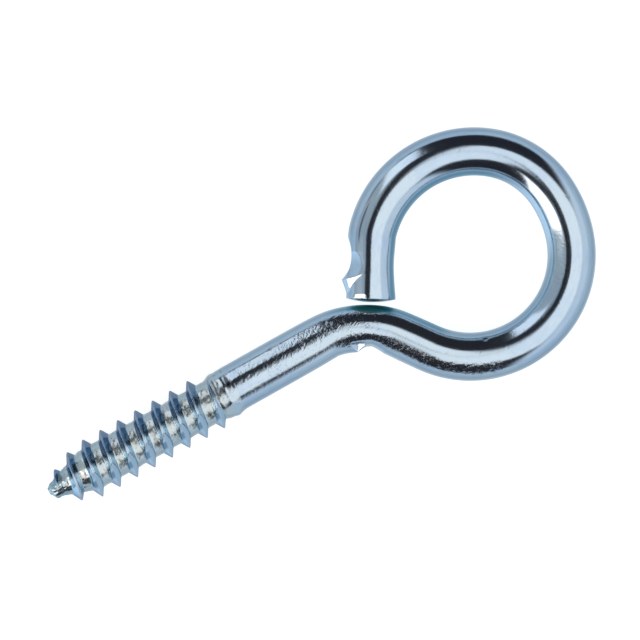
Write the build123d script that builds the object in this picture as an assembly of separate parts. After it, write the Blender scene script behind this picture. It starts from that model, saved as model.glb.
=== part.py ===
from build123d import *
import os
from math import acos, atan2, ceil, cos, degrees, hypot, pi, radians, sin, sqrt, tan

# Screw eye, made from one length of round wire. A wood-screw thread is rolled on one end. The other end is
# bent over in a neck and wound once round into an eye, and stops just short of the neck.
#
# Frame: origin at the eye's centre, in the wire's mid-plane. +X runs along the shank from the point to the
# eye, +Y points to the side where the free end lies, and +Z stands out of the plane of the eye. Lengths are
# in millimetres and angles in degrees.

# Wire and overall sizes
WIRE_DIA = 4.8
EYE_BORE = 15.4  # inside diameter of the eye
POINT_TO_EYE = 47.9  # from the screw's point to the eye's centre, along the shank

# Neck, which carries the wire over to one side so that the eye stands in line with the shank
NECK_RADIUS = 8.26  # centreline radius of the bend
RAMP_LENGTH = 3.2  # straight between the neck and the eye

# Eye, as it was wound. It is a little out of round, so each stretch has a turn of its own and a centreline
# radius that is a share of the eye's
HEEL_TURN = 127.0
HEEL_SHARE = 0.996
CROWN_TURN = 22.0
CROWN_SHARE = 1.2
SHOULDER_TURN = 47.0
SHOULDER_SHARE = 0.885
BACK_SHARE = 1.025
TUCK_TURN = 12.3
TUCK_RADIUS = 3.2
FREE_END_ANGLE = 59.1  # between the free end and the shank's line

# Free end, which was sheared off with a crowned face
END_GAP = 0.2  # from the face to the neck
END_CROWN_RADIUS = 9.0
DENT_FROM_END = 4.5  # dent pressed into the outer side by the winding tool
DENT_DEPTH = 0.4
DENT_RADIUS = 4.4
HORN_FROM_END = 2.3  # metal that the tool pushed up beside the dent
HORN_HEIGHT = 0.45
HORN_FRONT = 1.0  # length of its slope towards the face
HORN_BACK = 0.4  # length of its slope towards the dent
HORN_WIDTH = 1.8
HORN_TIP_WIDTH = 0.7
HORN_TIP_LENGTH = 0.15

# Thread
THREAD_HAND = -1  # -1 is left-hand, 1 is right-hand
THREAD_LENGTH = 19.2  # from the point to the last of the ridge
THREAD_PITCH = 1.98
THREAD_DIA = 5.92  # over the crests
ROOT_DIA = 4.3
FLANK_ANGLE = 30.0  # between each flank and a plane across the shank
THREAD_START = 0.8  # from the point to where the ridge begins
START_ANGLE = 118.0  # about +X from +Y, where the ridge begins
FADE_IN_TURNS = 0.65
FADE_OUT_TURNS = 0.6
RUN_OUT_LENGTH = 0.5  # slope from the root up to the wire

# Point, a short cone that was pinched off blunt
CONE_LENGTH = 4.4
CONE_TIP_DIA = 1.2

# How the ridge is built
RIDGE_SINK = 0.25  # how deep the ridge is rooted in the core
TURNS_PER_SPAN = 0.5  # at most, in one piece of the ridge
STATIONS_PER_SPAN = 20
TINY_TURN = 0.0001  # for the slope of the ridge

wire_radius = WIRE_DIA / 2
eye_radius = (EYE_BORE + WIRE_DIA) / 2
root_radius = ROOT_DIA / 2
heel_radius = eye_radius * HEEL_SHARE

# The neck turns until the ramp runs tangent into a heel that is centred on the shank's line
centre_distance = hypot(heel_radius + NECK_RADIUS, RAMP_LENGTH)
neck_turn = degrees(acos(NECK_RADIUS / centre_distance) - atan2(RAMP_LENGTH, heel_radius + NECK_RADIUS))
back_turn = 180 + FREE_END_ANGLE + neck_turn - HEEL_TURN - CROWN_TURN - SHOULDER_TURN - TUCK_TURN

# Where the shank ends and the neck begins
shank_end = -(NECK_RADIUS + heel_radius) * sin(radians(neck_turn)) - RAMP_LENGTH * cos(radians(neck_turn))
point_x = -POINT_TO_EYE
thread_end = point_x + THREAD_LENGTH


def centre_of_bend(place, radius, turn):
    """Centre that a bend of this turn, to the left if positive, is made about."""
    return place * Pos(0, radius if turn > 0 else -radius, 0)


def after_bend(place, radius, turn):
    """Place where such a bend ends. A place has its X along the wire and its Y to the left."""
    centre = centre_of_bend(place, radius, turn)
    return centre * Rot(0, 0, turn) * centre.inverse() * place


def straight(place, length):
    """Straight wire from a place."""
    from_its_foot = (Align.CENTER, Align.CENTER, Align.MIN)
    return place * Rot(0, 90, 0) * Cylinder(wire_radius, length, align=from_its_foot)


def bend(place, radius, turn):
    """Bent wire from a place: its round section, seam on the inside, turned about the centre of the bend."""
    left = turn > 0
    centre = centre_of_bend(place, radius, turn).position
    section = place * Rot(0, 90, 0) * Rot(0, 0, 90 if left else -90) * Circle(wire_radius)
    return revolve(section, Axis(centre, (0, 0, 1 if left else -1)), abs(turn))


def core_radius(x):
    """Radius of the core under the thread: the cone at the point, then the root."""
    tip_radius = CONE_TIP_DIA / 2
    grown = tip_radius + (root_radius - tip_radius) * (x - point_x) / CONE_LENGTH
    return min(grown, root_radius)


def shank():
    """Shank, turned about its own line: cone, root under the thread, slope up to the wire, plain wire."""
    outline = Polyline(
        (point_x, 0),
        (point_x, CONE_TIP_DIA / 2),
        (point_x + CONE_LENGTH, root_radius),
        (thread_end - RUN_OUT_LENGTH, root_radius),
        (thread_end, wire_radius),
        (shank_end, wire_radius),
        (shank_end, 0),
        close=True,
    )
    return revolve(make_face(outline), Axis.X)


def ease(share):
    """Smooth rise from 0 to 1 as the share goes from 0 to 1."""
    share = min(max(share, 0), 1)
    return share * share * (3 - 2 * share)


def ridge_height(turns, all_turns):
    """Height of the crest over the core: it rises out of the core at one end and dies away at the other."""
    rise = ease(turns / FADE_IN_TURNS) * ease((all_turns - turns) / FADE_OUT_TURNS)
    buried = RIDGE_SINK / 2
    return (THREAD_DIA / 2 - root_radius + buried) * rise - buried


def ridge_corner(turns, all_turns, side):
    """One corner of the ridge's section, so many turns along it: the crest (0), or the foot on the side of
    the point (-1) or of the eye (1)."""
    x = point_x + THREAD_START + turns * THREAD_PITCH
    height = ridge_height(turns, all_turns)
    half_width = (height + RIDGE_SINK) * tan(radians(FLANK_ANGLE))
    radius = core_radius(x) + (-RIDGE_SINK if side else height)
    angle = radians(START_ANGLE) + THREAD_HAND * turns * 2 * pi
    return Vector(x + side * half_width, radius * cos(angle), radius * sin(angle))


def ridge_edge(start, end, all_turns, side):
    """One long edge of a span of the ridge, which leaves each end of the span along the ridge."""
    shares = [i / STATIONS_PER_SPAN for i in range(STATIONS_PER_SPAN + 1)]

    def at(turns):
        return ridge_corner(turns, all_turns, side)

    def rate(turns):
        return (at(turns + TINY_TURN) - at(turns - TINY_TURN)) * ((end - start) / (2 * TINY_TURN))

    points = [at(start + (end - start) * share) for share in shares]
    return Edge.make_spline(points, [rate(start), rate(end)], parameters=shares, scale=False)


def ridge():
    """Thread: a V-shaped ridge carried round the core by its pitch, in short spans. Each span has two flanks
    that meet in a sharp crest, and a foot that lies inside the core."""
    all_turns = (THREAD_LENGTH - THREAD_START) / THREAD_PITCH
    count = ceil(all_turns / TURNS_PER_SPAN)
    cuts = [all_turns * i / count for i in range(count + 1)]
    faces = []
    for start, end in zip(cuts, cuts[1:]):
        edges = [ridge_edge(start, end, all_turns, side) for side in (-1, 0, 1)]
        faces += [Face.make_surface_from_curves(a, b) for a, b in zip(edges, edges[1:] + edges[:1])]
    for turns in (0, all_turns):
        corners = [ridge_corner(turns, all_turns, side) for side in (-1, 0, 1)]
        faces.append(make_face(Polyline(corners, close=True)).face())
    return Solid(Shell(faces))


def horn(face):
    """Horn on the outer side of the free end: a wedge, steep towards the dent and long towards the face."""
    outward = face * Rot(90, 0, 0) * Pos(-HORN_FROM_END, 0, 0)
    root = outward * Pos((HORN_FRONT - HORN_BACK) / 2, 0, 0) * Rectangle(HORN_FRONT + HORN_BACK, HORN_WIDTH)
    tip = outward * Pos(0, 0, wire_radius + HORN_HEIGHT) * Rectangle(HORN_TIP_LENGTH, HORN_TIP_WIDTH)
    return loft([root, tip])


def free_end(place, length):
    """Free end from a place: a straight stub with a crowned face, a dent in its outer side and a horn."""
    face = place * Pos(length, 0, 0)
    crown = face * Pos(-END_CROWN_RADIUS, 0, 0) * Sphere(END_CROWN_RADIUS)
    dent_centre = face * Pos(-DENT_FROM_END, DENT_DEPTH - wire_radius - DENT_RADIUS, 0)
    dent = dent_centre * Cylinder(DENT_RADIUS, 2 * WIRE_DIA)
    return (straight(place, length) & crown) - dent + horn(face)


def length_to_neck(place, neck_centre):
    """Length from a place, along its line, to where the end face stands its gap clear of the neck."""
    along = place.inverse() * neck_centre
    to_centre, aside = along.position.X, along.position.Y
    clear = NECK_RADIUS + wire_radius + END_GAP
    return to_centre - sqrt(clear**2 - aside**2)


def bent_wire():
    """The bent wire from the shank round to the free end."""
    place = Pos(shank_end, 0, 0)
    neck_centre = centre_of_bend(place, NECK_RADIUS, -neck_turn)
    pieces = [bend(place, NECK_RADIUS, -neck_turn)]
    place = after_bend(place, NECK_RADIUS, -neck_turn)
    pieces.append(straight(place, RAMP_LENGTH))
    place = place * Pos(RAMP_LENGTH, 0, 0)
    stretches = [
        (HEEL_TURN, heel_radius),
        (CROWN_TURN, eye_radius * CROWN_SHARE),
        (SHOULDER_TURN, eye_radius * SHOULDER_SHARE),
        (back_turn, eye_radius * BACK_SHARE),
        (TUCK_TURN, TUCK_RADIUS),
    ]
    for turn, radius in stretches:
        pieces.append(bend(place, radius, turn))
        place = after_bend(place, radius, turn)
    pieces.append(free_end(place, length_to_neck(place, neck_centre)))
    return pieces


screw_eye = shank() + ridge()
for piece in bent_wire():
    screw_eye = screw_eye + piece

os.makedirs("parts", exist_ok=True)
export_step(screw_eye, "parts/screw_eye.step")
print(f"screw eye {screw_eye.volume:.2f} mm3, solids {len(screw_eye.solids())}, valid {screw_eye.is_valid}")
print(f"neck turn {neck_turn:.2f}, back turn {back_turn:.2f}, shank end {shank_end:.2f}")
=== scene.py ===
import math

import bpy
import numpy as np
from bpy.props import FloatProperty, FloatVectorProperty, IntProperty, PointerProperty
from bpy.types import Operator, Panel, PropertyGroup
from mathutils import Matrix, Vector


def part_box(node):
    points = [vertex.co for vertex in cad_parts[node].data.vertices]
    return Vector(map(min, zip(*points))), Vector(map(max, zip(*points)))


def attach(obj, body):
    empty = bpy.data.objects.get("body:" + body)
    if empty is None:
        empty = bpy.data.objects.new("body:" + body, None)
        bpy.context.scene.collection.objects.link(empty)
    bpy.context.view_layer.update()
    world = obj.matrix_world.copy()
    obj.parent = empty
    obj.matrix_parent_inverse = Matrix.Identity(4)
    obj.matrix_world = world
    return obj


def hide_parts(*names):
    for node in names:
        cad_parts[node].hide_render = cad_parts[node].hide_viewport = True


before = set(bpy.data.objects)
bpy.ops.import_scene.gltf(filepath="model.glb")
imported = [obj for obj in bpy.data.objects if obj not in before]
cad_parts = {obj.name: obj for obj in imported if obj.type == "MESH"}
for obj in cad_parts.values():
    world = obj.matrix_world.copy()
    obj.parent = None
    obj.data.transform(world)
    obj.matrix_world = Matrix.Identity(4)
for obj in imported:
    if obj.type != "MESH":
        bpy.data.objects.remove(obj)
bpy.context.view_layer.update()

bl_info = {
    "name": "Screw Eye",
    "version": (1, 0, 0),
    "blender": (4, 5, 0),
    "location": "View3D > Sidebar > Screw Eye",
    "description": "Zinc-plated screw eye wound from one wire, on a pale floor in soft light",
    "category": "Add Mesh",
}

# The part's own axes: X runs along the shank from the point to the eye, Y to the free end's side, Z out of
# the eye's plane. The origin is the eye's centre.
MM = 0.001
NODE = "screw_eye"
BODY = "root"
CAD_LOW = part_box(NODE)[0]


def length(name, description, millimetres):
    """A length that a user can change, given in millimetres."""
    default = millimetres * MM
    return FloatProperty(name=name, description=description, default=default, precision=5, unit="LENGTH")


def angle(name, description, degrees):
    """An angle that a user can change, given in degrees."""
    return FloatProperty(name=name, description=description, default=math.radians(degrees), subtype="ANGLE")


def share(name, description, value):
    """A plain number that a user can change."""
    return FloatProperty(name=name, description=description, default=value, precision=3)


def colour(name, description, default):
    """A colour that a user can change."""
    return FloatVectorProperty(name=name, description=description, default=default, subtype="COLOR", min=0)


class WireSizes(PropertyGroup):
    wire_diameter: length("Wire diameter", "Diameter of the round wire", 4.8)
    eye_bore: length("Eye bore", "Inside diameter of the eye", 15.4)
    point_to_eye: length("Point to eye", "From the point to the eye's centre", -CAD_LOW.x / MM)
    neck_radius: length("Neck radius", "Centreline radius of the neck's bend", 8.26)
    ramp_length: length("Ramp length", "Straight between the neck and the eye", 3.2)
    heel_turn: angle("Heel turn", "Turn of the eye's first stretch", 127)
    heel_share: share("Heel share", "Its radius as a share of the eye's", 0.996)
    crown_turn: angle("Crown turn", "Turn of the eye's flatter stretch", 22)
    crown_share: share("Crown share", "Its radius as a share of the eye's", 1.2)
    shoulder_turn: angle("Shoulder turn", "Turn of the tighter stretch after it", 47)
    shoulder_share: share("Shoulder share", "Its radius as a share of the eye's", 0.885)
    back_share: share("Back share", "Radius of the last long stretch as a share of the eye's", 1.025)
    tuck_turn: angle("Tuck turn", "Small turn just before the free end", 12.3)
    tuck_radius: length("Tuck radius", "Centreline radius of that turn", 3.2)
    free_end_angle: angle("Free end angle", "Between the free end and the shank", 59.1)
    end_gap: length("End gap", "Between the end face and the neck", 0.08)
    end_crown_radius: length("End crown radius", "Radius of the crowned end face", 9.0)
    bend_easing: length("Bend easing", "Length over which one bend passes into the next", 0.45)


class ThreadSizes(PropertyGroup):
    hand: IntProperty(name="Hand", description="-1 is left-hand, 1 is right-hand", default=-1, min=-1, max=1)
    thread_length: length("Thread length", "From the point to the last of the ridge", 19.2)
    pitch: length("Pitch", "Along the shank from crest to crest", 1.98)
    outer_diameter: length("Outer diameter", "Over the crests", 5.92)
    root_diameter: length("Root diameter", "Of the core under the thread", 4.3)
    flank_angle: angle("Flank angle", "Between each flank and a plane across the shank", 30)
    start: length("Start", "From the point to where the ridge begins", 0.8)
    start_angle: angle("Start angle", "About the shank, where the ridge begins", 118)
    fade_in: share("Fade in", "Turns over which the ridge rises", 0.5)
    fade_out: share("Fade out", "Turns over which the ridge dies away", 0.45)
    run_out: length("Run-out", "Slope from the root up to the wire", 0.85)
    foot_fillet: length("Foot fillet", "Softness of the corner at the ridge's foot", 0.06)
    crest_round: length("Crest rounding", "Softness of the ridge's crest", 0.06)
    aside: length("Aside", "How far the rolled thread lies to the neck's side", 0.07)
    cone_length: length("Cone length", "Length of the point's cone", 4.4)
    cone_tip_diameter: length("Cone tip diameter", "Diameter at the pinched-off point", 1.2)


class MarkSizes(PropertyGroup):
    neck_squash: share("Neck squash", "How much narrower the neck is across its bend", 0.085)
    dent_from_end: length("Dent from end", "Middle of the dent, from the end face", 4.5)
    dent_depth: length("Dent depth", "Depth of the dent on the outer side", 0.4)
    dent_radius: length("Dent radius", "Radius of the tool that left it", 4.4)
    press_depth: length("Press depth", "Depth of the flat that the tool pressed above the dent", 0.22)
    pinch_depth: length("Pinch depth", "How far the inner side is pressed in facing the dent", 0.16)
    flare: length("Flare", "How far the inner side spreads at the end face", 0.1)
    horn_from_end: length("Horn from end", "Tip of the raised horn, from the end face", 2.1)
    horn_height: length("Horn height", "Height of the horn", 0.5)
    horn_slope: share("Horn slope", "Slope of the horn towards the end face", 0.33)
    horn_back: length("Horn back", "Length of its hollow slope towards the dent", 1.2)
    rim_slope: share("Rim slope", "Slope of the rolled rim", 0.3)
    rim_length: length("Rim length", "Length of the rolled rim", 0.45)
    nick_depth: length("Nick depth", "Depth of the nick under the neck", 0.34)
    burr_height: length("Burr height", "Height of the burr beside the nick", 0.27)


class FinishValues(PropertyGroup):
    plate_colour: colour("Plate", "Zinc plate where it is bright", (0.72, 0.79, 0.86))
    cool_colour: colour("Cool plate", "Zinc plate where the passivation is thicker", (0.60, 0.70, 0.85))
    land_colour: colour("Lands", "Cloudy plate between the ridges of the thread", (0.80, 0.82, 0.80))
    # Painted shade: teal that stands for the shaded surroundings seen inside the bends, also used at the tip
    bend_shade_and_tip_colour: colour("Inner plate", "Dull plate on the inside of the bends", (0.28, 0.50, 0.62))
    edge_colour: colour("Edges", "Plate seen edge-on", (0.80, 0.86, 0.92))
    # Lit flank colour, against which the next two colours are painted shade
    lit_flank_colour: colour("Flanks", "Flanks of the thread", (0.74, 0.90, 0.98))
    # Painted shade on the flanks
    flank_shade_colour: colour("Dark flanks", "Flanks where the plate is dull and dark", (0.33, 0.46, 0.58))
    # Deeper painted shade in a patch low on the flanks that face the point
    flank_deep_colour: colour("Deep flanks", "Patch low on flanks that face the point", (0.08, 0.18, 0.33))
    # Painted highlight along the ridge's crest
    crest_highlight_colour: colour("Crests", "Worn line along the ridge's crest", (0.78, 0.79, 0.88))
    flank_edge_colour: colour("Flank edges", "Flanks seen edge-on", (0.48, 0.48, 0.60))
    stain_colour: colour("Stain", "Dark specks and stains in the plate", (0.10, 0.11, 0.13))
    roughness: share("Roughness", "Roughness of the smooth plate", 0.13)
    dust_colour: colour("Dust", "Scuffs where the plate is worn dull", (0.50, 0.47, 0.48))
    frost: share("Frost", "Roughness that the scuffs add where they are dull", 0.3)
    # Painted shadow of the free end on the neck
    shaded_colour: colour("Shaded place", "Dull place on the neck under the free end", (0.08, 0.36, 0.38))
    land_roughness: share("Land roughness", "Roughness between the ridges and in the scuffs", 0.27)


class StudioValues(PropertyGroup):
    view_width: length("View width", "Width that the camera sees at the wire", 63.49)
    view_turn: angle("View turn", "Turn of the view against the shank", 29.34)
    view_along: length("View along", "Centre of the view along the shank", -16.12)
    view_aside: length("View aside", "Centre of the view to the free end's side", 1.70)
    camera_height: length("Camera height", "Camera above the wire", 900)
    floor_width: length("Floor width", "Width of the floor", 1600)
    floor_glow: share("Floor glow", "Even part of the floor's light", 0.86)


# ---------------------------------------------------------------- shape

# How finely the surface is laid out: columns round it, rows in a cap, and steps between the rows along it
ROUND = 117
CAP_ROWS = 10
THREAD_STEP = 0.052 * MM
MARK_STEP = 0.075 * MM
PLAIN_STEP = 0.26 * MM
FINE_STEP = 0.01 * MM

# Stretches with close rows: past the thread, round the marks on the neck, and up to the end face
ROWS_PAST_THREAD = 2 * MM
ROWS_AT_NECK = (3.7 * MM, 2.2 * MM)
ROWS_AT_END = 6.2 * MM
ROWS_FADE = 1 * MM

# How the curvature of one bend is eased into the next
EASING_REACH = 3
EASING_SHARPNESS = 2

# Ridge of the thread
RUN_OUT_LEAD = 0.75  # share of the run-out that lies before the end of the thread
LEAST_RIDGE = 0.02 * MM
RIDGE_EDGE = 0.1 * MM
CREST_WIDTH = 0.11 * MM
FILLET_RISE = 3

# Shade of the flanks, from 0 to 1. A side is 1 towards the free end and -1 towards the neck's bend
UPPER_SHADE = 0.5
UPPER_SIDES = (-0.05, 0.3)
PATCH_SHADE = 0.6
PATCH_SIDES = (-0.66, 0.05, 0.16)
PATCH_START = (3 * MM, 1 * MM)
LOWER_SHADE = 0.22

# Stretches along the wire, in millimetres: middle, half-width and length of the fade
NEAR_POINT = (0, 3.2, 0.8)
RUN_OUT = (0.7, 1, 0.5)
THREAD_FADE = 1.6 * MM
ASIDE_FADE = 2 * MM

# Lumps that rolling leaves: length of a cell, cells round the wire, seed and height
LAND_LUMPS = (0.5 * MM, 30, 3, 0.022 * MM)
FINE_LUMPS = (0.2 * MM, 64, 5, 0.009 * MM)
RUN_OUT_LUMPS = (0.5 * MM, 18, 8, 0.012 * MM)
POINT_LUMPS = 0.9  # how much taller they are near the point
RUN_OUT_LANDS = 0.45  # how far the run-out looks like the lands

# Rings of the collar behind the thread: place past the thread, half-width and height in millimetres, the
# side it lies on, and how far it reaches beyond that side
COLLAR_RINGS = [
    (0.3, 0.4, 0.05, 1, 0),
    (0.2, 0.13, -0.03, 1, 0.6),
    (1, 0.16, 0.025, 0, 1),
    (1.05, 0.5, 0.17, -1, 0),
]

# Pinched-off point. A bell, here and below, is given by its middle and its width
LOBE = (0.5 * MM, 0.35 * MM)
LOBE_HEIGHT = 0.16 * MM
LOBE_SPREAD = 1.4
TIP_SHRINK = 0.45
TIP_LENGTH = 0.45 * MM
TIP_LEAN = 0.08 * MM
LEAN_LENGTH = 0.8 * MM

# Free end. Places are measured back from the end face, and sides are turns about the wire in degrees
DENT_EDGE = 0.05 * MM
PRESS_FACING = math.radians(137)
PRESS_FROM_END = 3.6 * MM
PRESS_EDGE = 0.04 * MM
PRESS_FADE = 0.05 * MM
PRESS_STOP = 0.08 * MM
PINCH = (3.9 * MM, 1.9 * MM)
FLARE_LENGTH = 1 * MM
HORN_SLANT = 0.46
HORN_FOOT, HORN_RISE = 102, 50
HORN_SIDES = (100, 101, 200, 240)
RIM_SIDES = (100, 108, 124, 138)

# Neck and heel. Places are measured from the start of the neck
SQUEEZE = (3.6 * MM, 3.4 * MM)
NICK_TURNS = (4, 20, 22.5, 31, 36, 48)  # of the bend, from the burr's start to the nick's end
NICK_SHOULDER = 0.75
NICK_SIDES = (120, 166, 205, 235)
CHIP = (3.45, 0.8, 0.1)  # stretch in millimetres
CHIP_SIDE = (0.6, 0.06)  # where it starts across the wire, as shares of its radius
CHIP_MIDDLE = 0.8
CHIP_WALLS = [(0.75, 3.75, 0.33, 0.25), (0.4, 3.2, -1.7, 0)]  # height, place, slope along, slope across
PIT = (17 * MM, 0.3 * MM)
PIT_SIDE = (math.radians(48), 0.09)
PIT_DEPTH = 0.05 * MM

# Reach of the crown of the end face along the wire, and how cloudy the sheared face is
CROWN_REACH = 3 * MM
END_FACE_LANDS = 0.8

# Masks that the finish reads at each point
MASKS = ("lands", "scuffs", "inner", "ridges", "crests", "shade")

# Scuffed patches: from and to along the wire in millimetres, from and to across it as shares of its radius,
# and how badly
PLAIN_SCUFFS = 0.16
SCUFF_PATCHES = [
    (20.9, 36.5, -0.56, 0.72, 0.36),
    (29, 35, 0.15, 0.68, 0.56),
    (22.5, 30, 0.12, 0.42, 0.3),
    (32.5, 49, -0.72, -0.3, 0.55),
    (59, 64, 0.3, 0.6, 0.4),
]
SCUFF_FADE, SCUFF_SIDE_FADE = 1.2 * MM, 0.15

# Painted shade on the inside of the bends, in teal, where they face the shaded inside of the eye and
# the free end: where it is measured from, its stretch in millimetres and how strong
PAINTED_SHADE_BENDS = [("neck", (7, 4, 2.5), 0.85), ("end", (-11, 10.5, 5), 0.9), ("neck", (20, 10, 5), 0.12)]
PAINTED_SHADE_SIDES = (0.745, 0.08)
# The same teal at the tip: its stretch in millimetres, and how strong it is there
TEAL_TIP = (0.6, 1.2, 0.8)
TIP_TEAL_SHARE = 0.4


def smooth(value):
    """Smooth rise from 0 to 1: three times the square less twice the cube."""
    value = np.clip(value, 0, 1)
    return value * value * (3 - 2 * value)


def climb(value, start, over):
    """0 up to the start, rising smoothly to 1 over the length after it."""
    return smooth((value - start) / over)


def window(value, middle, half_width, edge):
    """1 within half_width of the middle, falling smoothly to 0 over the edge outside it."""
    return smooth(1 + (half_width - np.abs(value - middle)) / edge)


def span(along, origin, limits):
    """A window along the wire, whose middle past the origin, half-width and edge are in millimetres."""
    middle, half_width, edge = (value * MM for value in limits)
    return window(along, origin + middle, half_width, edge)


def between(turn, rise_from, rise_to, fall_from, fall_to):
    """1 between two angles, rising smoothly before the first and falling smoothly after the second. The
    four limits are in degrees."""
    rise_from, rise_to, fall_from, fall_to = np.radians([rise_from, rise_to, fall_from, fall_to])
    rise = smooth((turn - rise_from) / (rise_to - rise_from))
    fall = smooth((fall_to - turn) / (fall_to - fall_from))
    return rise * fall


def hump(value, middle, width):
    """Bell of height 1: the exponential of less the squared distance from the middle in widths."""
    return np.exp(-(((value - middle) / width) ** 2))


def soft_max(a, b, softness):
    """The larger of two values, rounded where they are close: half their sum plus half the root of their
    squared difference plus the squared softness."""
    return 0.5 * (a + b + np.sqrt((a - b) ** 2 + softness**2))


def soft_min(a, b, softness):
    """The smaller of two values, rounded where they are close."""
    return -soft_max(-a, -b, softness)


def mottle(along, around, cell, round_cells, seed):
    """Smooth random values from -1 to 1: a lattice of seeded values, closed round the wire, blended between
    neighbours by the smooth rise. A cell has its length along the wire, and so many go round it."""
    rows = int(np.ptp(along) / cell) + 3
    lattice = np.random.default_rng(seed).uniform(-1, 1, (rows, round_cells))
    closed = np.concatenate([lattice, lattice[:, :1]], axis=1)
    row = (along - along.min()) / cell
    column = np.mod(around / (2 * math.pi), 1) * round_cells
    row_low = np.floor(row).astype(int)
    column_low = np.floor(column).astype(int) % round_cells
    row_share = smooth(row - row_low)
    column_share = smooth(column - np.floor(column))

    def blend(rows):
        return closed[rows, column_low] * (1 - column_share) + closed[rows, column_low + 1] * column_share

    return blend(row_low) * (1 - row_share) + blend(row_low + 1) * row_share


def lumpy(along, around, lumps):
    """Mottle of these lumps, times their height."""
    cell, round_cells, seed, height = lumps
    return height * mottle(along, around, cell, round_cells, seed)


def wire_path(wire):
    """Centreline of the wire from the point to the end face, as its length, place and heading at fine
    steps.

    The neck's turn is the one whose ramp runs tangent into a heel centred on the shank's line. The
    curvature of each stretch is eased into the next, then summed once for the heading and again for the
    place."""
    eye_radius = (wire.eye_bore + wire.wire_diameter) / 2
    heel_radius = eye_radius * wire.heel_share
    reach = heel_radius + wire.neck_radius
    to_heel = math.hypot(reach, wire.ramp_length)
    neck_turn = math.acos(wire.neck_radius / to_heel) - math.atan2(wire.ramp_length, reach)
    neck_start = wire.point_to_eye - reach * math.sin(neck_turn) - wire.ramp_length * math.cos(neck_turn)
    turned = wire.heel_turn + wire.crown_turn + wire.shoulder_turn + wire.tuck_turn
    back_turn = math.pi + wire.free_end_angle + neck_turn - turned
    bends = [
        (-neck_turn, wire.neck_radius),
        (0, wire.ramp_length),
        (wire.heel_turn, heel_radius),
        (wire.crown_turn, eye_radius * wire.crown_share),
        (wire.shoulder_turn, eye_radius * wire.shoulder_share),
        (back_turn, eye_radius * wire.back_share),
        (wire.tuck_turn, wire.tuck_radius),
    ]
    lengths = [neck_start] + [abs(turn) * size if turn else size for turn, size in bends]
    curvatures = [0] + [math.copysign(1 / size, turn) if turn else 0 for turn, size in bends]
    marks = np.cumsum(lengths)
    spare = 2 * wire.wire_diameter
    along = np.arange(0, marks[-1] + spare, FINE_STEP)
    stretch = np.searchsorted(marks, along)
    curvature = np.array(curvatures + [0])[stretch]
    easing_end = EASING_REACH * wire.bend_easing
    easing = np.arange(-easing_end, easing_end, FINE_STEP)
    weights = np.exp(-((easing / wire.bend_easing) ** 2) * EASING_SHARPNESS)
    curvature = np.convolve(curvature, weights / weights.sum(), mode="same")
    heading = np.cumsum(curvature) * FINE_STEP
    x = -wire.point_to_eye + np.cumsum(np.cos(heading)) * FINE_STEP
    y = np.cumsum(np.sin(heading)) * FINE_STEP

    # The end face stands its gap clear of the neck, whose bend is centred beside the end of the shank
    clear = wire.neck_radius + wire.wire_diameter / 2 + wire.end_gap
    from_neck = np.hypot(x - (neck_start - wire.point_to_eye), y + wire.neck_radius)
    straight = along > marks[-1]
    end = along[straight][np.argmax(from_neck[straight] < clear)]
    return {"along": along, "x": x, "y": y, "heading": heading, "marks": marks, "end": end}


def row_places(path, thread):
    """Where the rows of the surface stand along the wire: close together on the thread and the tool marks,
    and wider on the plain wire. The density is summed and cut into equal parts."""
    along = path["along"][path["along"] <= path["end"]]
    plain = 1 / PLAIN_STEP
    density = np.full(along.shape, plain)
    half_thread = thread.thread_length / 2
    marks_middle, marks_half = ROWS_AT_NECK
    fine_stretches = [
        (half_thread, half_thread + ROWS_PAST_THREAD, THREAD_STEP),
        (path["marks"][0] + marks_middle, marks_half, MARK_STEP),
        (path["end"], ROWS_AT_END, MARK_STEP),
    ]
    for middle, half_width, step in fine_stretches:
        density += (1 / step - plain) * window(along, middle, half_width, ROWS_FADE)
    total = np.cumsum(density) * FINE_STEP
    count = int(total[-1])
    return np.interp(np.linspace(total[0], total[-1], count), total, along)


def thread_offset(along, around, thread):
    """Distance along the shank to the nearest crest: the helix climbs one pitch a turn, and the distance is
    wrapped into half a pitch either way. Also the turns of ridge up to that crest."""
    climbed = thread.hand * (around - thread.start_angle) / (2 * math.pi)
    turns = (along - thread.start) / thread.pitch - climbed
    offset = (turns - np.round(turns)) * thread.pitch
    return offset, (along - offset - thread.start) / thread.pitch


def shank_radius(along, around, wire, thread):
    """Radius of the shank: a cone, the root, a slope up to the wire, and on it the V-shaped ridge. The
    ridge's height is its crest's less the rounded offset over the tangent of the flank angle, eased at the
    foot.

    Also how far each place lies on the ridge and on the fine line of its crest, and the shade of its
    flank."""
    wire_radius = wire.wire_diameter / 2
    root = thread.root_diameter / 2
    tip = thread.cone_tip_diameter / 2
    core = np.minimum(tip + (root - tip) * along / thread.cone_length, root)
    slope = (along - thread.thread_length) / thread.run_out + RUN_OUT_LEAD
    core = core + (wire_radius - root) * smooth(slope)
    offset, turns = thread_offset(along, around, thread)
    all_turns = (thread.thread_length - thread.start) / thread.pitch
    rise = smooth(turns / thread.fade_in) * smooth((all_turns - turns) / thread.fade_out)
    crest = (thread.outer_diameter / 2 - root) * rise
    rounded = np.hypot(offset, thread.crest_round) - thread.crest_round
    height = crest - rounded / math.tan(thread.flank_angle)
    ridge = soft_max(height, 0, thread.foot_fillet * smooth(FILLET_RISE * rise))
    raised = crest > LEAST_RIDGE
    on_ridge = climb(height, -RIDGE_EDGE, RIDGE_EDGE) * raised
    on_crest = window(offset, 0, CREST_WIDTH / 2, CREST_WIDTH) * raised
    return core + ridge, on_ridge, on_crest, flank_shade(along, np.cos(around), offset)


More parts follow.
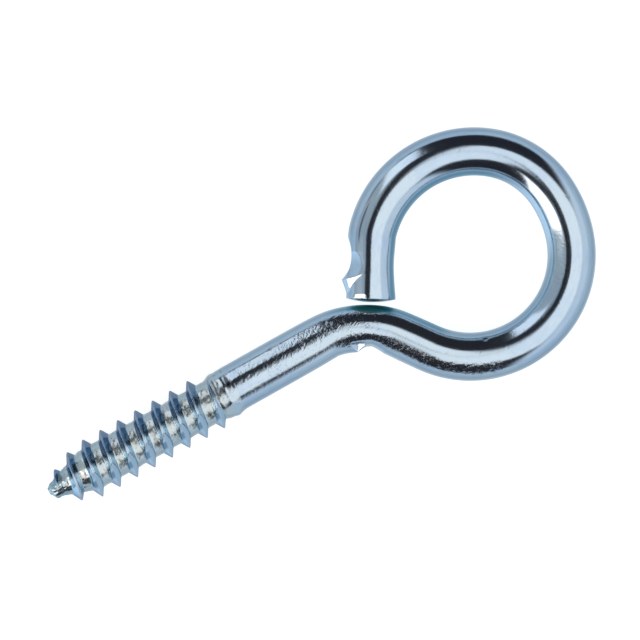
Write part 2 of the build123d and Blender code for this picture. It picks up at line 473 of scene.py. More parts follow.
def flank_shade(along, side, offset):
    """How much painted shade the flanks get: half on the side of the free end, more in a patch low on the
    flanks that face the point, and a little on the other flanks."""
    upper = UPPER_SHADE * climb(side, *UPPER_SIDES)
    patch = PATCH_SHADE * window(side, *PATCH_SIDES) * (offset < 0) * climb(along, *PATCH_START)
    return np.maximum(np.maximum(upper, patch), LOWER_SHADE * (offset > 0))


def rest_on_crests(along, around, thread):
    """Rows that fall within half a step of a crest are moved on to it, so that the crest is one clean
    edge."""
    offset, turns = thread_offset(along, around, thread)
    all_turns = (thread.thread_length - thread.start) / thread.pitch
    near = (np.abs(offset) <= THREAD_STEP / 2) & (turns > 0) & (turns < all_turns)
    return np.where(near, along - offset, along)


def rolled_metal(along, around, lands, run_out, thread):
    """What rolling adds to the radius: lumps on the lands, taller near the point, lumps on the run-out, and
    the rings of a low collar. A ring is a bell along the wire times a smooth rise towards its side."""
    lumps = lumpy(along, around, LAND_LUMPS) + lumpy(along, around, FINE_LUMPS)
    taller = 1 + POINT_LUMPS * span(along, 0, NEAR_POINT)
    added = taller * lands * lumps + run_out * lumpy(along, around, RUN_OUT_LUMPS)
    for past_thread, width, height, side, reach in COLLAR_RINGS:
        ring = hump(along, thread.thread_length + past_thread * MM, width * MM)
        added = added + height * MM * ring * smooth(side * np.cos(around) + reach)
    return added


def push_out(across, up, around, distance):
    """Points moved away from the centreline by a distance, each along its own angle."""
    return across + distance * np.cos(around), up + distance * np.sin(around)


def pinch_point(along, around, across, up):
    """The point as it was pinched off: a bell makes a lobe on the neck's side, and smooth rises towards the
    tip draw it in and lean it to the other side."""
    lobe = hump(along, *LOBE) * smooth(-np.cos(around) * LOBE_SPREAD)
    drawn_in = 1 - TIP_SHRINK * smooth(1 - along / TIP_LENGTH)
    lean = TIP_LEAN * smooth(1 - along / LEAN_LENGTH)
    return (across - LOBE_HEIGHT * lobe) * drawn_in + lean, up * drawn_in


def press_end(back, around, across, up, wire, marks):
    """The free end as the winding tool and the shear left it, measured back from the end face.

    The dent on the outer side is an arc of the tool, and the flat above it is cut by a plane that sinks as
    a parabola. The inner side is pinched and flared by bells. The horn's crest slants over the wire: its
    front is a straight slope and its back a hollow that falls as a square. The rim is rolled down in a
    straight slope."""
    wire_radius = wire.wire_diameter / 2
    from_dent = back - marks.dent_from_end
    arc = np.sqrt(np.maximum(marks.dent_radius**2 - from_dent**2, 0)) - marks.dent_radius
    dented = marks.dent_depth - wire_radius + arc
    dented = np.where(np.abs(from_dent) < marks.dent_radius, dented, -wire.wire_diameter)
    across = np.where(across < 0, soft_max(across, dented, DENT_EDGE), across)
    from_crest = back - marks.horn_from_end - HORN_SLANT * (across + wire_radius)

    press = marks.press_depth - (back - PRESS_FROM_END) ** 2 / (2 * marks.dent_radius)
    toward = across * math.cos(PRESS_FACING) + up * math.sin(PRESS_FACING)
    softness = PRESS_EDGE * smooth(press / PRESS_FADE)
    past = toward - soft_min(toward, wire_radius - np.maximum(press, 0), softness)
    past = past * smooth(from_crest / PRESS_STOP)
    across = across - past * math.cos(PRESS_FACING)
    up = up - past * math.sin(PRESS_FACING)

    inner = smooth(across / wire_radius)
    across = across - marks.pinch_depth * inner * hump(back, *PINCH)
    across = across + marks.flare * inner * hump(back, 0, FLARE_LENGTH)

    rising = np.clip((np.degrees(around) - HORN_FOOT) / HORN_RISE, 0, 1) ** 2
    height = marks.horn_height * rising * between(around, *HORN_SIDES)
    hollow = np.clip(1 - from_crest / marks.horn_back, 0, 1) ** 2 * height
    front = np.maximum(height + marks.horn_slope * from_crest, 0)
    across, up = push_out(across, up, around, np.where(from_crest > 0, hollow, front))
    rolled = marks.rim_slope * np.maximum(marks.rim_length - back, 0) * between(around, *RIM_SIDES)
    return push_out(across, up, around, -rolled)


def scar_neck(past_neck, around, across, up, wire, marks):
    """Marks on the bends, by their place past the start of the neck.

    The burr and the nick are a profile along the neck's bend, faded round the wire. The chipped facet cuts
    the wire down to the higher of two sloping planes. The small pit on the heel's inner side is a bell both
    ways."""
    wire_radius = wire.wire_diameter / 2
    burr, nick = marks.burr_height, -marks.nick_depth
    heights = (0, burr, burr, NICK_SHOULDER * nick, nick, 0)
    profile = np.interp(past_neck / wire.neck_radius, np.radians(NICK_TURNS), heights)
    across, up = push_out(across, up, around, profile * between(around, *NICK_SIDES))
    chip = span(past_neck, 0, CHIP) * climb(-across / wire_radius, *CHIP_SIDE)
    walls = [
        height * MM + slope * (past_neck - start * MM) + lean * (across + CHIP_MIDDLE * wire_radius)
        for height, start, slope, lean in CHIP_WALLS
    ]
    up = up - chip * np.maximum(up - np.maximum(*walls), 0)
    pit = PIT_DEPTH * hump(past_neck, *PIT) * hump(around, *PIT_SIDE)
    return push_out(across, up, around, -pit)


def wire_surface(wire, thread, marks):
    """The whole wire as one grid: a row for each place along it, a column for each angle round it.

    A point is the centreline's place, plus its distance across to the left of the heading, plus its
    distance out of the plane. Those are the radius times the cosine and the sine of the angle, after the
    marks."""
    path = wire_path(wire)
    around = np.linspace(0, 2 * math.pi, ROUND, endpoint=False)[None, :]
    along = rest_on_crests(row_places(path, thread)[:, None] + 0 * around, around, thread)
    around = around + 0 * along
    radius, on_ridge, on_crest, shade = shank_radius(along, around, wire, thread)
    half_thread = thread.thread_length / 2
    threaded = window(along, half_thread, half_thread, THREAD_FADE)
    run_out = span(along, thread.thread_length, RUN_OUT)
    lands = np.maximum(threaded * (1 - on_ridge), RUN_OUT_LANDS * run_out)
    radius = radius + rolled_metal(along, around, lands, run_out, thread)

    # The neck is squeezed across its bend, and the rolled thread lies a little to one side
    past_neck = along - path["marks"][0]
    squeezed = 1 - marks.neck_squash * hump(past_neck, *SQUEEZE)
    aside = thread.aside * window(along, half_thread, half_thread, ASIDE_FADE)
    across = radius * np.cos(around) * squeezed - aside
    up = radius * np.sin(around)
    across, up = pinch_point(along, around, across, up)
    across, up = press_end(path["end"] - along, around, across, up, wire, marks)
    across, up = scar_neck(past_neck, around, across, up, wire, marks)
    return {
        "path": path,
        "along": along,
        "around": around,
        "across": across,
        "up": up,
        "lands": lands,
        "scuffs": scuff_mask(along, around) * (1 - on_ridge * threaded),
        "inner": bend_shade_and_tip_mask(along, across, up, path),
        "ridges": on_ridge * threaded,
        "crests": on_crest * threaded,
        "shade": shade,
    }


def scuff_mask(along, around):
    """Where the plate is scuffed: each patch is a window along the wire times a window across the side that
    faces the camera, and the strongest patch counts."""
    side = np.cos(around)
    scuffs = np.full(along.shape, PLAIN_SCUFFS)
    for start, end, low, high, amount in SCUFF_PATCHES:
        lengthwise = window(along, (start + end) / 2 * MM, (end - start) / 2 * MM, SCUFF_FADE)
        patch = lengthwise * window(side, (low + high) / 2, (high - low) / 2, SCUFF_SIDE_FADE)
        scuffs = np.maximum(scuffs, amount * patch)
    return scuffs


def bend_shade_and_tip_mask(along, across, up, path):
    """Where painted shade makes the plate teal: inside the bends, facing the shaded inside of the eye and
    the free end, and the same teal at the tip. Each stretch is a window, and the strongest counts."""
    origins = {"neck": path["marks"][0], "end": path["end"]}
    bends = [shade_share * span(along, origins[origin], limits) for origin, limits, shade_share in PAINTED_SHADE_BENDS]
    side = climb(across / np.hypot(across, up), *PAINTED_SHADE_SIDES)
    return np.maximum(side * np.max(bends, axis=0), TIP_TEAL_SHARE * span(along, 0, TEAL_TIP))


def crown_depth(wire, distance):
    """How far the crowned end face falls back at a distance from its middle: its radius, less the root of
    its squared radius less the squared distance."""
    crown = wire.end_crown_radius
    return crown - np.sqrt(crown**2 - distance**2)


def cap_rows(surface, wire):
    """Rows that close the two ends: the last row is drawn in towards the centreline in even shares. The end
    face is the cap of a sphere, and the point is pinched to a slanted edge."""
    wire_radius = wire.wire_diameter / 2
    shares = 1 - np.arange(1, CAP_ROWS) / CAP_ROWS
    near, far = {}, {}
    for name in ("across", "up"):
        near[name] = surface[name][0][None, :] * shares[::-1, None]
        far[name] = surface[name][-1][None, :] * shares[:, None]
    for name in ("along", "around", *MASKS):
        near[name] = surface[name][0][None, :] + 0 * near["up"]
        far[name] = surface[name][-1][None, :] + 0 * far["up"]
    bulge = crown_depth(wire, wire_radius) - crown_depth(wire, wire_radius * shares)
    far["along"] = far["along"] + bulge[:, None]
    far["lands"] = far["lands"] + END_FACE_LANDS
    return near, far


def wire_points(surface, wire):
    """Points of the whole closed grid in the part's axes, and what the finish reads at each. A point is its
    place on the centreline, plus its distance across at right angles to the heading, and its height."""
    path = surface["path"]
    near, far = cap_rows(surface, wire)
    grid = {}
    for name in ("along", "around", "across", "up", *MASKS):
        grid[name] = np.concatenate([near[name], surface[name], far[name]])

    # The rim stands back from the crown of the end face
    rim_depth = crown_depth(wire, wire.wire_diameter / 2)
    toward_rim = smooth((grid["along"] - path["end"] + CROWN_REACH) / CROWN_REACH)
    body_rows = slice(len(near["up"]), len(near["up"]) + len(surface["up"]))
    grid["along"][body_rows] -= rim_depth * toward_rim[body_rows]
    grid["along"][body_rows.stop:] -= rim_depth
    x, y, heading = (np.interp(grid["along"], path["along"], path[name]) for name in ("x", "y", "heading"))
    x = x - grid["across"] * np.sin(heading)
    y = y + grid["across"] * np.cos(heading)
    return grid, np.stack([x, y, grid["up"]], axis=-1)


def grid_faces(rows, columns):
    """Triangles of a grid that closes round its columns, with a pole at each end. Each cell is cut along
    the diagonal that a left-hand ridge follows."""
    index = np.arange(rows * columns).reshape(rows, columns)
    after = np.roll(index, -1, axis=1)
    a, b, c, d = index[:-1], index[1:], after[1:], after[:-1]
    cells = np.concatenate([np.stack([a, d, b], -1).reshape(-1, 3), np.stack([b, d, c], -1).reshape(-1, 3)])
    near_pole, far_pole = rows * columns, rows * columns + 1
    first = np.stack([np.full(columns, near_pole), after[0], index[0]], -1)
    last = np.stack([np.full(columns, far_pole), index[-1], after[-1]], -1)
    return np.concatenate([cells, first, last])


def fill_mesh(name, points, faces, values):
    """A mesh of these points and triangles, smooth shaded, with one named value or vector a point."""
    mesh = bpy.data.meshes.new(name)
    mesh.vertices.add(len(points))
    mesh.vertices.foreach_set("co", points.astype(np.float32).ravel())
    mesh.loops.add(3 * len(faces))
    mesh.loops.foreach_set("vertex_index", faces.astype(np.int32).ravel())
    mesh.polygons.add(len(faces))
    mesh.polygons.foreach_set("loop_start", np.arange(0, 3 * len(faces), 3, dtype=np.int32))
    mesh.update(calc_edges=True)
    for key, value in values.items():
        if value.ndim == 1:
            layer = mesh.attributes.new(key, "FLOAT", "POINT")
            layer.data.foreach_set("value", value.astype(np.float32))
        else:
            layer = mesh.attributes.new(key, "FLOAT_VECTOR", "POINT")
            layer.data.foreach_set("vector", value.astype(np.float32).ravel())
    mesh.shade_smooth()
    mesh.validate()
    return mesh


def build_wire(wire, thread, marks):
    """The screw eye's mesh, with what its material reads: the place along and round the wire, and the
    masks."""
    surface = wire_surface(wire, thread, marks)
    grid, points = wire_points(surface, wire)
    rows, columns = grid["up"].shape
    poles = np.stack([points[0].mean(axis=0), points[-1].mean(axis=0)])
    unrolled = np.stack([grid["along"], grid["across"], grid["up"]], -1)
    values = {"unrolled": unrolled.reshape(-1, 3)}
    for name in MASKS:
        values[name] = grid[name].reshape(-1)
    for name, value in values.items():
        ends = value.reshape(rows, columns, -1)[[0, -1]].mean(axis=1)
        values[name] = np.concatenate([value, ends.reshape((2,) + value.shape[1:])])
    points = np.concatenate([points.reshape(-1, 3), poles])
    mesh = fill_mesh("screw_eye_wire", points, grid_faces(rows, columns), values)
    layer = mesh.uv_layers.new(name="UVMap")
    loops = np.zeros(len(mesh.loops), np.int32)
    mesh.loops.foreach_get("vertex_index", loops)
    flat = np.concatenate([grid["along"].reshape(-1), grid["along"][[0, -1], 0]])
    turn = np.concatenate([grid["around"].reshape(-1) / (2 * math.pi), [0.5, 0.5]])
    uv = np.stack([flat[loops] / flat.max(), turn[loops]], -1).reshape(-1, 3, 2)
    wraps = (uv[..., 1].max(axis=1, keepdims=True) - uv[..., 1]) > 0.5
    uv[..., 1] += wraps
    layer.data.foreach_set("uv", uv.astype(np.float32).ravel())
    return mesh


# ---------------------------------------------------------------- finish

# Noises in the plate: scale, detail, and how much they are drawn out along the wire
FINE_LINES = (5200, 2, 0.12)
BROAD_LINES = (1500, 2, 0.08)
STROKES = (3800, 1, 1)
SCUFF_SPECKS = (4300, 2, 1)
SCUFF_SPREAD = (1300, 2, 1)
CLOUDS = (900, 3, 1)
FINE_CLOUDS = (2100, 1.5, 1)
GRAIN = (2600, 2, 0.4)
TINT = (160, 2, 1)

# Values of a noise between which it takes effect
SCUFF_LIMITS = (0.52, 0.86)
FROST_LIMITS = (0.52, 0.62)
SPECK_LIMITS = (0.6, 0.8)
TINT_LIMITS = (0.65, 0.95)
STREAK_LIMITS = (1.3, 0.7)  # distances from the middle of a streak, in its half sizes

# Shares of one noise or mask in another
FINE_LINE_SHARE = 0.4
SPREAD_BY_AMOUNT = 0.5
SPECKS_IN_STROKES = 0.6
STROKE_MEAN = 0.8
FINE_CLOUD_SHARE = 0.8
GRAIN_SHARE = 0.6
COOL_SHARE = 0.6
DUST_SHARE = 0.9
SPECK_SHARE = 0.75
SCUFF_WEAR = 0.4
SHADED_ROUGHNESS = 0.3
CREST_ROUGHNESS = 0.12
HALF_SHADE = 0.5
CREST_HIGHLIGHT = (0.5, 0.2, 0.5, 0.85)  # shades of the flank from and to, and how strong the painted highlight along the crest is there

# Strokes of the scuffs: their direction and how long they are for their width
STROKE_TURN = math.radians(42)
STROKE_STRETCH = 2.4

# Heights of the bumps
LINE_BUMP = 0.006 * MM
SCUFF_BUMP = 0.055 * MM
LAND_BUMP = 0.026 * MM

# Dark streaks and stains: the middle along, across and out of the wire, half sizes the same way, all in
# millimetres, and the depth of the stain
STREAKS = [
    ((20.75, 0.9, 2.2), (0.20, 0.65, 1.5), 0.95),
    ((19.42, 1.25, 2.0), (0.11, 0.6, 1.2), 0.8),
    ((1.55, 0.75, 0.9), (0.3, 0.45, 1.0), 0.7),
    ((91.2, -1.3, 2.0), (1.7, 0.09, 1.5), 0.7),
    ((88.3, -1.5, 1.9), (1.3, 0.08, 1.5), 0.4),
]

# Painted shadow on the neck right under the free end, given in the same way
SHADED_PLACE = ((36.05, 2.1, 1.1), (1.8, 0.75, 1.5))

# Sockets of the Mix node that take and give colours
MIX_FIRST, MIX_SECOND, MIX_RESULT = 6, 7, 2


def new_group(name, inputs, outputs):
    """An empty node group with these sockets, and its input and output nodes."""
    group = bpy.data.node_groups.new(name, "ShaderNodeTree")
    for socket, kind, default in inputs:
        made = group.interface.new_socket(socket, in_out="INPUT", socket_type="NodeSocket" + kind)
        if default is not None:
            made.default_value = default
    for socket, kind in outputs:
        group.interface.new_socket(socket, in_out="OUTPUT", socket_type="NodeSocket" + kind)
    return group, group.nodes.new("NodeGroupInput"), group.nodes.new("NodeGroupOutput")


def place(tree, kind, inputs=None, **settings):
    """A new node with its settings, whose inputs are values or sockets to link from."""
    node = tree.nodes.new(kind)
    for key, value in settings.items():
        setattr(node, key, value)
    for key, value in (inputs or {}).items():
        if isinstance(value, bpy.types.NodeSocket):
            tree.links.new(value, node.inputs[key])
        else:
            node.inputs[key].default_value = value
    return node


def calc(tree, operation, *values):
    """A Math node on these values or sockets, as its output socket."""
    return place(tree, "ShaderNodeMath", dict(enumerate(values)), operation=operation).outputs[0]


def times(tree, first, second):
    """The product of two values or sockets, as an output socket."""
    return calc(tree, "MULTIPLY", first, second)


def plus(tree, first, second):
    """The sum of two values or sockets, as an output socket."""
    return calc(tree, "ADD", first, second)


def vectors(tree, operation, *values, output="Vector"):
    """A Vector Math node on these vectors or sockets, as its output socket."""
    inputs = dict(enumerate(values))
    return place(tree, "ShaderNodeVectorMath", inputs, operation=operation).outputs[output]


def ramp(tree, value, low, high, to_low=0.0, to_high=1.0):
    """A smooth map of one range on to another, as its output socket."""
    inputs = {"Value": value, "From Min": low, "From Max": high, "To Min": to_low, "To Max": to_high}
    return place(tree, "ShaderNodeMapRange", inputs, interpolation_type="SMOOTHSTEP").outputs[0]


def solid(value):
    """A plain colour made opaque, or a socket as it is."""
    return value if isinstance(value, bpy.types.NodeSocket) else (*value, 1)


def mixed(tree, factor, first, second):
    """A colour between two colours or sockets, as its output socket."""
    inputs = {0: factor, MIX_FIRST: solid(first), MIX_SECOND: solid(second)}
    return place(tree, "ShaderNodeMix", inputs, data_type="RGBA").outputs[MIX_RESULT]


def noise(tree, vector, pattern):
    """A Noise Texture of this scale and detail, on a vector that may be drawn out along the wire."""
    scale, detail, drawn_out = pattern
    if drawn_out != 1:
        vector = vectors(tree, "MULTIPLY", vector, (drawn_out, 1, 1))
    inputs = {"Vector": vector, "Scale": scale, "Detail": detail}
    return place(tree, "ShaderNodeTexNoise", inputs).outputs["Fac"]


def bump(tree, height, distance, under=None):
    """A Bump node over the normal of the one under it, as its output socket."""
    inputs = {"Height": height, "Strength": 1, "Distance": distance}
    if under is not None:
        inputs["Normal"] = under
    return place(tree, "ShaderNodeBump", inputs).outputs[0]


def drawn_lines_group():
    """Fine lines that the drawing die leaves along the wire: noise stretched along it."""
    group, ins, outs = new_group("drawn_lines", [("Unrolled", "Vector", None)], [("Height", "Float")])
    fine = times(group, noise(group, ins.outputs["Unrolled"], FINE_LINES), FINE_LINE_SHARE)
    broad = noise(group, ins.outputs["Unrolled"], BROAD_LINES)
    group.links.new(plus(group, fine, broad), outs.inputs["Height"])
    return group


def scuff_group():
    """Oblique scuffs: short ridges of noise stretched along their own direction, in patches of a coarser
    noise that spread as the amount grows."""
    group, ins, outs = new_group(
        "scuffs",
        [("Unrolled", "Vector", None), ("Amount", "Float", 0.5)],
        [("Height", "Float"), ("Mask", "Float"), ("Frost", "Float")],
    )
    unrolled, amount = ins.outputs["Unrolled"], ins.outputs["Amount"]
    inputs = {"Vector": unrolled, "Rotation": (0, 0, STROKE_TURN), "Scale": (STROKE_STRETCH, 1, 1)}
    turned = place(group, "ShaderNodeMapping", inputs, vector_type="TEXTURE").outputs[0]
    specks = noise(group, unrolled, SCUFF_SPECKS)
    allowed = plus(group, noise(group, unrolled, SCUFF_SPREAD), times(group, amount, SPREAD_BY_AMOUNT))
    mask = times(group, ramp(group, allowed, *SCUFF_LIMITS), amount)
    rough = plus(group, noise(group, turned, STROKES), times(group, specks, SPECKS_IN_STROKES))
    rough = calc(group, "SUBTRACT", rough, STROKE_MEAN)
    group.links.new(times(group, rough, mask), outs.inputs["Height"])
    group.links.new(mask, outs.inputs["Mask"])
    group.links.new(times(group, ramp(group, specks, *FROST_LIMITS), mask), outs.inputs["Frost"])
    return group


def streak_group():
    """A soft-edged streak along the wire: 1 inside an ellipse round its middle and 0 well outside it."""
    sockets = [("Unrolled", "Vector", None), ("Middle", "Vector", None), ("Sizes", "Vector", None)]
    group, ins, outs = new_group("streak", sockets, [("Mask", "Float")])
    offset = vectors(group, "SUBTRACT", ins.outputs["Unrolled"], ins.outputs["Middle"])
    scaled = vectors(group, "DIVIDE", offset, ins.outputs["Sizes"])
    distance = vectors(group, "LENGTH", scaled, output="Value")
    group.links.new(ramp(group, distance, *STREAK_LIMITS), outs.inputs["Mask"])
    return group


def cloud_group():
    """Cloudy plate with dark specks: soft noise for the clouds, and the peaks of a fine noise for the
    specks."""
    sockets = [("Clouds", "Float"), ("Specks", "Float"), ("Height", "Float")]
    group, ins, outs = new_group("cloudy_plate", [("Unrolled", "Vector", None)], sockets)
    clouds = noise(group, ins.outputs["Unrolled"], CLOUDS)
    fine = noise(group, ins.outputs["Unrolled"], FINE_CLOUDS)
    group.links.new(clouds, outs.inputs["Clouds"])
    group.links.new(ramp(group, fine, *SPECK_LIMITS), outs.inputs["Specks"])
    group.links.new(plus(group, times(group, fine, FINE_CLOUD_SHARE), clouds), outs.inputs["Height"])
    return group


def streak_mask(tree, group, unrolled, middle, sizes):
    """How far each place lies in one streak, whose middle and half sizes are in millimetres."""
    inputs = {"Unrolled": unrolled, "Middle": [v * MM for v in middle], "Sizes": [v * MM for v in sizes]}
    return place(tree, "ShaderNodeGroup", inputs, node_tree=group).outputs["Mask"]


def zinc_plate(finish):
    """Bright blue-passivated zinc: smooth along the wire, cloudy between the ridges, scuffed near the neck.
    Painted shade lies on the flanks and in the bends, with a painted crest highlight and a painted shadow
    under the free end."""
    material = bpy.data.materials.new("zinc_plate")
    material.use_nodes = True
    tree = material.node_tree
    shader = tree.nodes["Principled BSDF"]
    shader.inputs["Metallic"].default_value = 1
    unrolled = place(tree, "ShaderNodeAttribute", attribute_name="unrolled").outputs["Vector"]
    lands, scuffs, inner, ridges, crests, shade = (
        place(tree, "ShaderNodeAttribute", attribute_name=name).outputs["Fac"] for name in MASKS
    )
    lines, scuffed, cloudy = (
        place(tree, "ShaderNodeGroup", {"Unrolled": unrolled}, node_tree=group())
        for group in (drawn_lines_group, scuff_group, cloud_group)
    )
    tree.links.new(scuffs, scuffed.inputs["Amount"])

    # Plain plate, lands between the ridges, painted shade on the flanks and painted highlight on the crests
    grain = times(tree, noise(tree, unrolled, GRAIN), GRAIN_SHARE)
    tint = ramp(tree, plus(tree, noise(tree, unrolled, TINT), grain), *TINT_LIMITS)
    plate = mixed(tree, times(tree, tint, COOL_SHARE), finish.plate_colour, finish.cool_colour)
    plate = mixed(tree, lands, plate, finish.land_colour)
    flank = mixed(tree, ramp(tree, shade, 0, HALF_SHADE), finish.lit_flank_colour, finish.flank_shade_colour)
    flank = mixed(tree, ramp(tree, shade, HALF_SHADE, 1), flank, finish.flank_deep_colour)
    plate = mixed(tree, ridges, plate, flank)
    # Painted highlight along the crests, stronger where the flank's painted shade is light; it also roughens
    # them
    crest_highlight = times(tree, crests, ramp(tree, shade, *CREST_HIGHLIGHT))
    plate = mixed(tree, crest_highlight, plate, finish.crest_highlight_colour)

    # Painted shade in the bends, teal at the tip, dusty scuffs, stains, painted shadow and specks over it
    plate = mixed(tree, inner, plate, finish.bend_shade_and_tip_colour)
    plate = mixed(tree, times(tree, scuffed.outputs["Frost"], DUST_SHARE), plate, finish.dust_colour)
    streak = streak_group()
    for middle, sizes, depth in STREAKS:
        stained = times(tree, streak_mask(tree, streak, unrolled, middle, sizes), depth)
        plate = mixed(tree, stained, plate, finish.stain_colour)
    # Painted shadow of the free end on the neck, which is also made rougher
    under_end = streak_mask(tree, streak, unrolled, *SHADED_PLACE)
    plate = mixed(tree, under_end, plate, finish.shaded_colour)
    specks = times(tree, cloudy.outputs["Specks"], times(tree, lands, SPECK_SHARE))
    plate = mixed(tree, specks, plate, finish.stain_colour)
    tree.links.new(plate, shader.inputs["Base Color"])
    edges = mixed(tree, ridges, finish.edge_colour, finish.flank_edge_colour)
    tree.links.new(edges, shader.inputs["Specular Tint"])

    worn = calc(tree, "MAXIMUM", lands, times(tree, scuffed.outputs["Mask"], SCUFF_WEAR))
    worn = calc(tree, "MAXIMUM", worn, crest_highlight)
    rough = ramp(tree, worn, 0, 1, finish.roughness, finish.land_roughness)
    for mask, added in (
        (scuffed.outputs["Frost"], finish.frost),
        (under_end, SHADED_ROUGHNESS),
        (crest_highlight, CREST_ROUGHNESS),
    ):
        rough = plus(tree, rough, times(tree, mask, added))
    tree.links.new(rough, shader.inputs["Roughness"])

    land_height = times(tree, calc(tree, "SUBTRACT", cloudy.outputs["Height"], 1), lands)
    normal = bump(tree, lines.outputs["Height"], LINE_BUMP)
    normal = bump(tree, scuffed.outputs["Height"], SCUFF_BUMP, normal)
    normal = bump(tree, land_height, LAND_BUMP, normal)
    tree.links.new(normal, shader.inputs["Normal"])
    return material


# ---------------------------------------------------------------- stage

# Soft panels round the part, as the view's axes see them: azimuth from its right, zenith from the camera,
# roll, half-width and half-height in degrees, softness, and colour
SOFT_PANELS = [
    (-6, 110.6, 26.4, 67, 58.4, 0.3, (0.59, 0.70, 0.80)),
    (-21, 22.3, 10.6, 28.5, 33.1, 0.14, (0.88, 0.96, 1.0)),
    (179, 89, 14, 64, 51, 0.2, (0.33, 0.40, 0.45)),
    (128.5, 60.5, -6, 20.5, 9.6, 0.06, (0.86, 0.97, 1.05)),
    (-176, 58, 0, 14, 5, 0.05, (0.47, 0.56, 0.60)),
    (-147, 58.5, -5, 25.5, 15, 0.07, (1.9, 1.85, 1.8)),
]
LOW_PANEL = (-152, 120, 0, 32, 20, 0.45, (0.62, 0.82, 0.98))
CAMERA_SHADES = [(178, 15, 13.3, 2), (-132, 32, 9.5, 3)]  # azimuth, zenith, reach and softness in degrees
DARK = (0.02, 0.021, 0.027)
WHITE = (1, 1, 1)
HORIZON = (0.44, 0.58, 0.70)
GROUND = (0.35, 0.45, 0.53)
UNDERNEATH = (0.66, 0.72, 0.76)

# Heights of a direction between which the walls pass into the ground, and one tone of the ground into the
# next
HORIZON_HEIGHTS = (0.16, -0.02)
GROUND_HEIGHTS = (0.05, -0.6)
UNDERNEATH_HEIGHTS = (-0.6, -0.98)

FLOOR_GREY = (0.5, 0.5, 0.5)
SENSOR_WIDTH = 36  # in the camera's own millimetres
CLIP_END = 10


def panel_mask_group():
    """How far a direction lies within a soft panel: its distance inside each pair of edges, eased and
    multiplied. An edge is a plane through the middle of the scene."""
    group, ins, outs = new_group(
        "soft_panel",
        [
            ("Direction", "Vector", None),
            ("Facing", "Vector", None),
            ("Across", "Vector", None),
            ("Upward", "Vector", None),
            ("Width", "Float", 0.5),
            ("Height", "Float", 0.5),
            ("Softness", "Float", 0.1),
        ],
        [("Mask", "Float")],
    )

    def dot(name):
        return vectors(group, "DOT_PRODUCT", ins.outputs["Direction"], ins.outputs[name], output="Value")

    def inside(name, size):
        reach = times(group, dot("Facing"), ins.outputs[size])
        past = calc(group, "SUBTRACT", reach, calc(group, "ABSOLUTE", dot(name)))
        slant = calc(group, "SQRT", plus(group, calc(group, "POWER", ins.outputs[size], 2.0), 1.0))
        distance = calc(group, "DIVIDE", past, slant)
        return ramp(group, calc(group, "DIVIDE", distance, ins.outputs["Softness"]), -0.5, 0.5)

    mask = times(group, inside("Across", "Width"), inside("Upward", "Height"))
    ahead = calc(group, "GREATER_THAN", dot("Facing"), 0.0)
    group.links.new(times(group, mask, ahead), outs.inputs["Mask"])
    return group


def view_axes(turn):
    """The view's right and up, and the way to the camera, in the part's axes."""
    right = np.array([math.cos(turn), -math.sin(turn), 0])
    upward = np.array([math.sin(turn), math.cos(turn), 0])
    return np.stack([right, upward, np.array([0, 0, 1.0])])


def direction(axes, azimuth, zenith):
    """A direction from its azimuth and zenith in the view's axes."""
    aside = math.sin(zenith)
    return np.array([aside * math.cos(azimuth), aside * math.sin(azimuth), math.cos(zenith)]) @ axes


def add_panel(tree, group, axes, toward, light, panel):
    """The light with one more soft panel in front of it."""
    azimuth, zenith, roll = (math.radians(value) for value in panel[:3])
    width, height, softness, shade = panel[3:]
    facing = direction(axes, azimuth, zenith)
    outward = direction(axes, azimuth, zenith + math.pi / 2)
    beside = np.cross(facing, outward)
    inputs = {
        "Direction": toward,
        "Facing": facing,
        "Across": outward * math.cos(roll) + beside * math.sin(roll),
        "Upward": beside * math.cos(roll) - outward * math.sin(roll),
        "Width": math.tan(math.radians(width)),
        "Height": math.tan(math.radians(height)),
        "Softness": softness,
    }
    mask = place(tree, "ShaderNodeGroup", inputs, node_tree=group).outputs["Mask"]
    return mixed(tree, mask, light, shade)


def light_room(studio):
    """The studio as a world: dark walls with soft panels, the dark places where the camera stands, and a
    pale ground under the horizon. The camera itself sees white."""
    world = bpy.data.worlds.new("soft_studio")
    bpy.context.scene.world = world
    world.use_nodes = True
    tree = world.node_tree
    background = tree.nodes["Background"]
    toward = place(tree, "ShaderNodeTexCoord").outputs["Generated"]
    axes = view_axes(studio.view_turn)
    group = panel_mask_group()
    light = DARK
    for panel in SOFT_PANELS:
        light = add_panel(tree, group, axes, toward, light, panel)
    for disc in CAMERA_SHADES:
        azimuth, zenith, reach, edge = (math.radians(value) for value in disc)
        facing = vectors(tree, "DOT_PRODUCT", toward, direction(axes, azimuth, zenith), output="Value")
        shade = ramp(tree, facing, math.cos(reach + edge), math.cos(reach - edge))
        light = mixed(tree, shade, light, DARK)
    height = place(tree, "ShaderNodeSeparateXYZ", {0: toward}).outputs["Z"]
    ground = mixed(tree, ramp(tree, height, *GROUND_HEIGHTS), HORIZON, GROUND)
    ground = mixed(tree, ramp(tree, height, *UNDERNEATH_HEIGHTS), ground, UNDERNEATH)
    light = mixed(tree, ramp(tree, height, *HORIZON_HEIGHTS), light, ground)
    light = add_panel(tree, group, axes, toward, light, LOW_PANEL)
    seen = place(tree, "ShaderNodeLightPath").outputs["Is Camera Ray"]
    tree.links.new(mixed(tree, seen, light, WHITE), background.inputs["Color"])


def pale_floor(studio):
    """The floor's plain pale finish, mostly even so that the part casts only a faint shade on it."""
    material = bpy.data.materials.new("pale_floor")
    material.use_nodes = True
    shader = material.node_tree.nodes["Principled BSDF"]
    shader.inputs["Base Color"].default_value = (*FLOOR_GREY, 1)
    shader.inputs["Roughness"].default_value = 1
    shader.inputs["Specular IOR Level"].default_value = 0
    shader.inputs["Emission Color"].default_value = (*WHITE, 1)
    shader.inputs["Emission Strength"].default_value = studio.floor_glow
    return material


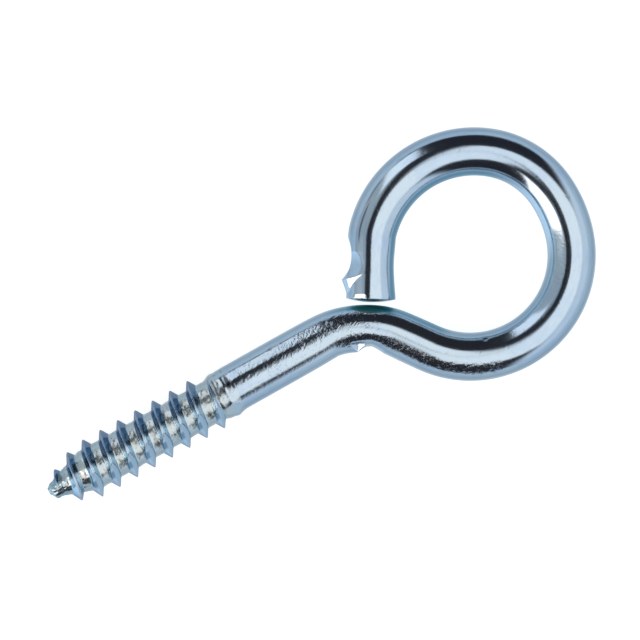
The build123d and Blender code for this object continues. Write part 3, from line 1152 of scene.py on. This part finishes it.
def lay_floor(studio):
    """A square floor just under the lowest point of the part."""
    half = studio.floor_width / 2
    corners = [(x * half, y * half, CAD_LOW.z) for x, y in ((-1, -1), (1, -1), (1, 1), (-1, 1))]
    mesh = bpy.data.meshes.new("floor")
    mesh.from_pydata(corners, [], [(0, 1, 2, 3)])
    floor = bpy.data.objects.new("floor", mesh)
    bpy.context.scene.collection.objects.link(floor)
    mesh.materials.append(pale_floor(studio))
    floor.visible_glossy = False


def set_camera(studio):
    """A long lens straight above the part, turned so that the shank rises to the right of the view."""
    data = bpy.data.cameras.new("camera")
    data.sensor_width = SENSOR_WIDTH
    data.lens = data.sensor_width * studio.camera_height / studio.view_width
    data.clip_end = CLIP_END
    camera = bpy.data.objects.new("camera", data)
    bpy.context.scene.collection.objects.link(camera)
    camera.location = (studio.view_along, studio.view_aside, studio.camera_height)
    camera.rotation_euler = (0, 0, -studio.view_turn)
    bpy.context.scene.camera = camera


# ---------------------------------------------------------------- add-on


class SCREWEYE_OT_wire(Operator):
    """Build the screw eye: threaded shank, neck and eye of one wire, with its zinc plate"""

    bl_idname = "screweye.wire"
    bl_label = "Build Screw Eye"

    def execute(self, context):
        scene = context.scene
        mesh = build_wire(scene.screweye_wire, scene.screweye_thread, scene.screweye_marks)
        piece = bpy.data.objects.new("screw_eye_wire", mesh)
        scene.collection.objects.link(piece)
        mesh.materials.append(zinc_plate(scene.screweye_finish))
        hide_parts(NODE)
        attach(piece, BODY)
        return {"FINISHED"}


class SCREWEYE_OT_stage(Operator):
    """Set the stage: pale floor, soft light and the camera above the part"""

    bl_idname = "screweye.stage"
    bl_label = "Set Stage"

    def execute(self, context):
        studio = context.scene.screweye_studio
        light_room(studio)
        lay_floor(studio)
        set_camera(studio)
        context.scene.view_settings.view_transform = "Standard"
        return {"FINISHED"}


class SCREWEYE_PT_parts(Panel):
    """Steps that build the screw eye, and its sizes, colours and studio"""

    bl_label = "Screw Eye"
    bl_idname = "SCREWEYE_PT_parts"
    bl_space_type = "VIEW_3D"
    bl_region_type = "UI"
    bl_category = "Screw Eye"

    def draw(self, context):
        for step in OPERATORS:
            self.layout.operator(step.bl_idname)
        for name in PROPERTIES:
            box = self.layout.box()
            values = getattr(context.scene, name)
            for key in values.__annotations__:
                box.prop(values, key)


PROPERTIES = {
    "screweye_wire": WireSizes,
    "screweye_thread": ThreadSizes,
    "screweye_marks": MarkSizes,
    "screweye_finish": FinishValues,
    "screweye_studio": StudioValues,
}
OPERATORS = (SCREWEYE_OT_wire, SCREWEYE_OT_stage)


def register():
    """Add the classes, and the sizes and colours to the scene."""
    for kind in (*PROPERTIES.values(), *OPERATORS, SCREWEYE_PT_parts):
        bpy.utils.register_class(kind)
    for name, kind in PROPERTIES.items():
        setattr(bpy.types.Scene, name, PointerProperty(type=kind))


def unregister():
    """Take them away again."""
    for name in PROPERTIES:
        delattr(bpy.types.Scene, name)
    for kind in (SCREWEYE_PT_parts, *OPERATORS, *PROPERTIES.values()):
        bpy.utils.unregister_class(kind)


def main():
    """Build the part and the stage."""
    register()
    bpy.ops.screweye.wire()
    bpy.ops.screweye.stage()


if __name__ == "__main__":
    main()
